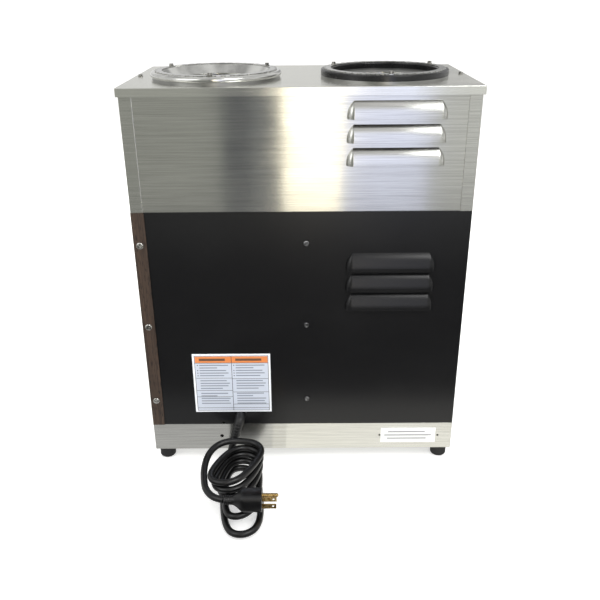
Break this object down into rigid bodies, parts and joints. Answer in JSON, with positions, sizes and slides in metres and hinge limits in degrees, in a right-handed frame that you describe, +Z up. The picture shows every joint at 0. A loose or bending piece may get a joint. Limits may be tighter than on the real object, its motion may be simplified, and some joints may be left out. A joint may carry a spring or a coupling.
{
  "type": "nacho cheese dispenser",
  "caption": "Countertop heated cheese dispenser with two round wells, peristaltic pumps behind doors, a slide-out drip tray, louvered rear and a coiled power cord.",
  "frame": {"origin": "centre of the machine's outline on the counter, between the feet", "axes": "+Z up, the operator at -Y, the louvered rear with the power cord at +Y, +X to the operator's right"},
  "size_m": [0.424, 0.479, 0.5307],
  "materials": {
    "brushed_steel_sheet": "horizontally brushed stainless sheet",
    "lid_steel": "brushed stainless lid",
    "inner_sheet": "plain galvanised sheet",
    "spun_steel": "spun, polished stainless",
    "collar_steel": "dull grey stainless",
    "screw_steel": "bright plated",
    "black_paint": "semi-gloss black enamel",
    "black_screw": "black screws with chipped heads",
    "woodgrain_panel": "steel with dark brown woodgrain laminate",
    "black_plastic": "moulded black plastic",
    "knob_plastic": "gloss black knob",
    "button_plastic": "amber button cap",
    "lamp_lens": "red lamp lens",
    "rubber": "black rubber",
    "cord_rubber": "black cord jacket",
    "silicone": "milky silicone tube",
    "white_plastic": "white moulded nylon",
    "insulation": "glass fibre blanket",
    "heater": "mica band heater",
    "motor": "grey gearmotor",
    "brass": "brass blades",
    "label_paper": "printed label stock without words"
  },
  "bodies": {
    "machine": {"base_chassis": "brushed_steel_sheet", "rubber_feet": "rubber", "foot_screws": "screw_steel", "body_wrapper": "black_paint", "side_access_panel": "woodgrain_panel", "access_panel_screws": "screw_steel", "wrapper_screws": "black_screw", "alcove_back": "brushed_steel_sheet", "compartment_floor": "brushed_steel_sheet", "centre_partition": "inner_sheet", "mid_deck": "inner_sheet", "upper_housing": "brushed_steel_sheet", "upper_rear_panel": "brushed_steel_sheet", "top_cover": "lid_steel", "top_cover_screws": "screw_steel", "well_collars": "collar_steel", "black_rim_ring": "black_plastic", "steel_rim_ring": "spun_steel", "retaining_ring_left": "spun_steel", "retaining_ring_right": "spun_steel", "rim_screws": "screw_steel", "hopper_left": "spun_steel", "hopper_right": "spun_steel", "band_heaters": "heater", "hopper_insulation": "insulation", "hopper_sensors": "screw_steel", "product_tubes": "silicone", "spout_ferrules": "spun_steel", "pump_brackets": "inner_sheet", "pump_shoes": "white_plastic", "gearmotors": "motor", "door_hinge_brackets": "screw_steel", "door_catches": "black_plastic", "button_bezels": "black_plastic", "dispense_switches": "black_plastic", "thermostat_bodies": "white_plastic", "indicator_lamps": "lamp_lens", "rocker_housing": "black_plastic", "terminal_block": "white_plastic", "rear_label": "label_paper", "base_tag": "label_paper", "strain_relief": "rubber", "cord_lead": "cord_rubber", "cord_tail": "cord_rubber", "cord_coil": "cord_rubber", "plug_body": "rubber", "plug_blades": "brass"},
    "left_door": {"door_left": "brushed_steel_sheet"},
    "right_door": {"door_right": "brushed_steel_sheet"},
    "left_rotor": {"pump_rotor_left": "white_plastic"},
    "right_rotor": {"pump_rotor_right": "white_plastic"},
    "left_button": {"dispense_button_left": "button_plastic"},
    "right_button": {"dispense_button_right": "button_plastic"},
    "rocker": {"power_rocker": "knob_plastic"},
    "left_knob": {"thermostat_knob_left": "knob_plastic"},
    "right_knob": {"thermostat_knob_right": "knob_plastic"},
    "tray": {"drip_tray": "brushed_steel_sheet"},
    "grate": {"drip_grate": "spun_steel"}
  },
  "joints": [
    {"name": "left_door_hinge", "type": "hinge", "parent": "machine", "child": "left_door", "pos_m": [-0.2055, -0.0835, 0.27], "axis": [0, 0, -1], "range_deg": [0, 110]},
    {"name": "right_door_hinge", "type": "hinge", "parent": "machine", "child": "right_door", "pos_m": [0.2055, -0.0835, 0.27], "axis": [0, 0, 1], "range_deg": [0, 110]},
    {"name": "left_pump_spin", "type": "hinge", "parent": "machine", "child": "left_rotor", "pos_m": [-0.104, -0.004, 0.235], "axis": [1, 0, 0], "continuous": true},
    {"name": "left_button_press", "type": "slide", "parent": "machine", "child": "left_button", "axis": [0, 1, 0], "range_m": [0, 0.005], "stiffness_N_per_m": 300, "springref_m": -0.002},
    {"name": "left_knob_turn", "type": "hinge", "parent": "machine", "child": "left_knob", "pos_m": [-0.104, -0.085, 0.45], "axis": [0, 1, 0], "range_deg": [0, 300]},
    {"name": "right_pump_spin", "type": "hinge", "parent": "machine", "child": "right_rotor", "pos_m": [0.104, -0.004, 0.235], "axis": [1, 0, 0], "continuous": true},
    {"name": "right_button_press", "type": "slide", "parent": "machine", "child": "right_button", "axis": [0, 1, 0], "range_m": [0, 0.005], "stiffness_N_per_m": 300, "springref_m": -0.002},
    {"name": "right_knob_turn", "type": "hinge", "parent": "machine", "child": "right_knob", "pos_m": [0.104, -0.085, 0.45], "axis": [0, 1, 0], "range_deg": [0, 300]},
    {"name": "power_rocker_tilt", "type": "hinge", "parent": "machine", "child": "rocker", "pos_m": [0, -0.073, 0.45], "axis": [-1, 0, 0], "range_deg": [0, 20]},
    {"name": "tray_slide", "type": "slide", "parent": "machine", "child": "tray", "axis": [0, -1, 0], "range_m": [0, 0.16]},
    {"name": "grate_lift", "type": "slide", "parent": "tray", "child": "grate", "axis": [0, 0, 1], "range_m": [0, 0.06]}
  ]
}
